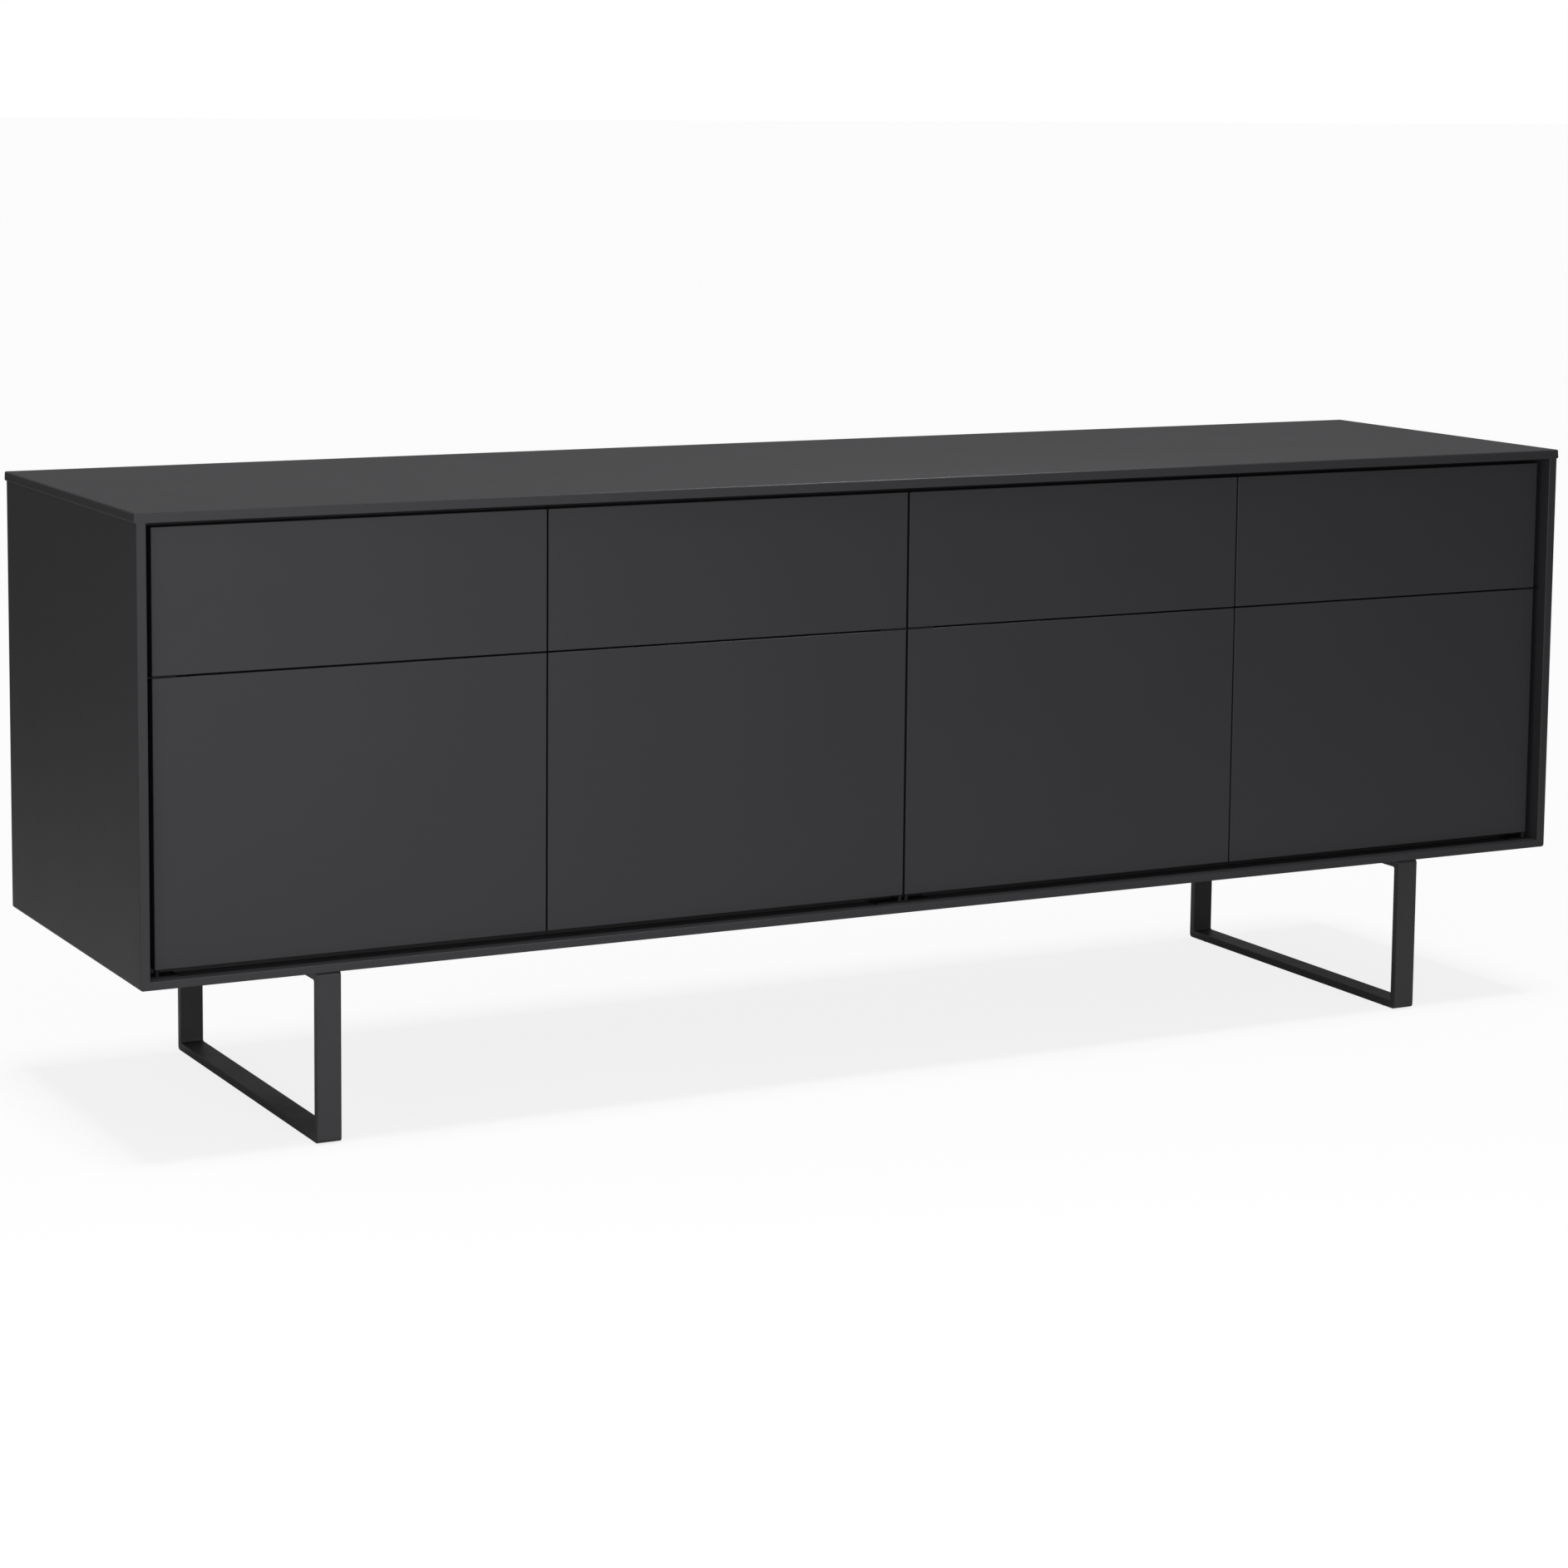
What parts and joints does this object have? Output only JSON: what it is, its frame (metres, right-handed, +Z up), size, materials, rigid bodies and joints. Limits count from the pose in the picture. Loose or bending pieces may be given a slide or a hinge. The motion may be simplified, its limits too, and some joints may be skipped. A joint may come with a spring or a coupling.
{
  "type": "sideboard",
  "caption": "Low sideboard on sled legs, with inset handleless drawer fronts over doors and a shadow gap all round.",
  "frame": {"origin": "on the floor, under the middle of the whole piece", "axes": "+Z up, front towards -Y, +X along the length, to the right of someone facing the front"},
  "size_m": [2, 0.5, 0.75],
  "materials": {
    "lacquer": "matte anthracite lacquer on fibreboard",
    "interior_lacquer": "matte melamine, same tone",
    "steel_paint": "fine-textured matte powder coat",
    "zinc": "zinc plated",
    "plastic": "moulded, matte"
  },
  "bodies": {
    "carcass": {"top_board": "lacquer", "carcass_bottom": "lacquer", "side_left": "lacquer", "side_right": "lacquer", "sub_top": "interior_lacquer", "inner_side_left": "interior_lacquer", "inner_side_right": "interior_lacquer", "inner_bottom": "interior_lacquer", "centre_divider": "interior_lacquer", "back_panel": "interior_lacquer", "deck_left": "interior_lacquer", "deck_right": "interior_lacquer", "drawer_partition_left": "interior_lacquer", "drawer_partition_right": "interior_lacquer", "shelf_left": "interior_lacquer", "shelf_right": "interior_lacquer", "sled_left": "steel_paint", "sled_right": "steel_paint", "glide_front_left": "plastic", "glide_rear_left": "plastic", "glide_front_right": "plastic", "glide_rear_right": "plastic", "pivot_lower_left": "steel_paint", "pivot_lower_centre": "steel_paint", "pivot_lower_right": "steel_paint", "pivot_upper_left": "steel_paint", "pivot_upper_centre": "steel_paint", "pivot_upper_right": "steel_paint", "latch_housing_1": "plastic", "latch_housing_2": "plastic", "latch_housing_3": "plastic", "latch_housing_4": "plastic", "runner_1_left": "zinc", "runner_1_right": "zinc", "runner_2_left": "zinc", "runner_2_right": "zinc", "runner_3_left": "zinc", "runner_3_right": "zinc", "runner_4_left": "zinc", "runner_4_right": "zinc"},
    "door_1": {"door_1": "lacquer"},
    "drawer_1": {"drawer_front_1": "lacquer", "drawer_box_1": "interior_lacquer", "drawer_bottom_1": "interior_lacquer"},
    "plunger_1": {"latch_plunger_1": "plastic"},
    "door_2": {"door_2": "lacquer"},
    "drawer_2": {"drawer_front_2": "lacquer", "drawer_box_2": "interior_lacquer", "drawer_bottom_2": "interior_lacquer"},
    "plunger_2": {"latch_plunger_2": "plastic"},
    "door_3": {"door_3": "lacquer"},
    "drawer_3": {"drawer_front_3": "lacquer", "drawer_box_3": "interior_lacquer", "drawer_bottom_3": "interior_lacquer"},
    "plunger_3": {"latch_plunger_3": "plastic"},
    "door_4": {"door_4": "lacquer"},
    "drawer_4": {"drawer_front_4": "lacquer", "drawer_box_4": "interior_lacquer", "drawer_bottom_4": "interior_lacquer"},
    "plunger_4": {"latch_plunger_4": "plastic"}
  },
  "joints": [
    {"name": "drawer_1_slide", "type": "slide", "parent": "carcass", "child": "drawer_1", "axis": [0, -1, 0], "range_m": [0, 0.38]},
    {"name": "drawer_2_slide", "type": "slide", "parent": "carcass", "child": "drawer_2", "axis": [0, -1, 0], "range_m": [0, 0.38]},
    {"name": "drawer_3_slide", "type": "slide", "parent": "carcass", "child": "drawer_3", "axis": [0, -1, 0], "range_m": [0, 0.38]},
    {"name": "drawer_4_slide", "type": "slide", "parent": "carcass", "child": "drawer_4", "axis": [0, -1, 0], "range_m": [0, 0.38]},
    {"name": "door_1_hinge", "type": "hinge", "parent": "carcass", "child": "door_1", "pos_m": [-0.973, -0.233, 0.391], "axis": [0, 0, -1], "range_deg": [0, 90]},
    {"name": "door_2_hinge", "type": "hinge", "parent": "carcass", "child": "door_2", "pos_m": [-0.0045, -0.233, 0.391], "axis": [0, 0, 1], "range_deg": [0, 90]},
    {"name": "door_3_hinge", "type": "hinge", "parent": "carcass", "child": "door_3", "pos_m": [0.0045, -0.233, 0.391], "axis": [0, 0, -1], "range_deg": [0, 90]},
    {"name": "door_4_hinge", "type": "hinge", "parent": "carcass", "child": "door_4", "pos_m": [0.973, -0.233, 0.391], "axis": [0, 0, 1], "range_deg": [0, 90]},
    {"name": "plunger_1_push", "type": "slide", "parent": "carcass", "child": "plunger_1", "axis": [0, 1, 0], "range_m": [0, 0.0025], "stiffness_N_per_m": 400},
    {"name": "plunger_2_push", "type": "slide", "parent": "carcass", "child": "plunger_2", "axis": [0, 1, 0], "range_m": [0, 0.0025], "stiffness_N_per_m": 400},
    {"name": "plunger_3_push", "type": "slide", "parent": "carcass", "child": "plunger_3", "axis": [0, 1, 0], "range_m": [0, 0.0025], "stiffness_N_per_m": 400},
    {"name": "plunger_4_push", "type": "slide", "parent": "carcass", "child": "plunger_4", "axis": [0, 1, 0], "range_m": [0, 0.0025], "stiffness_N_per_m": 400}
  ]
}
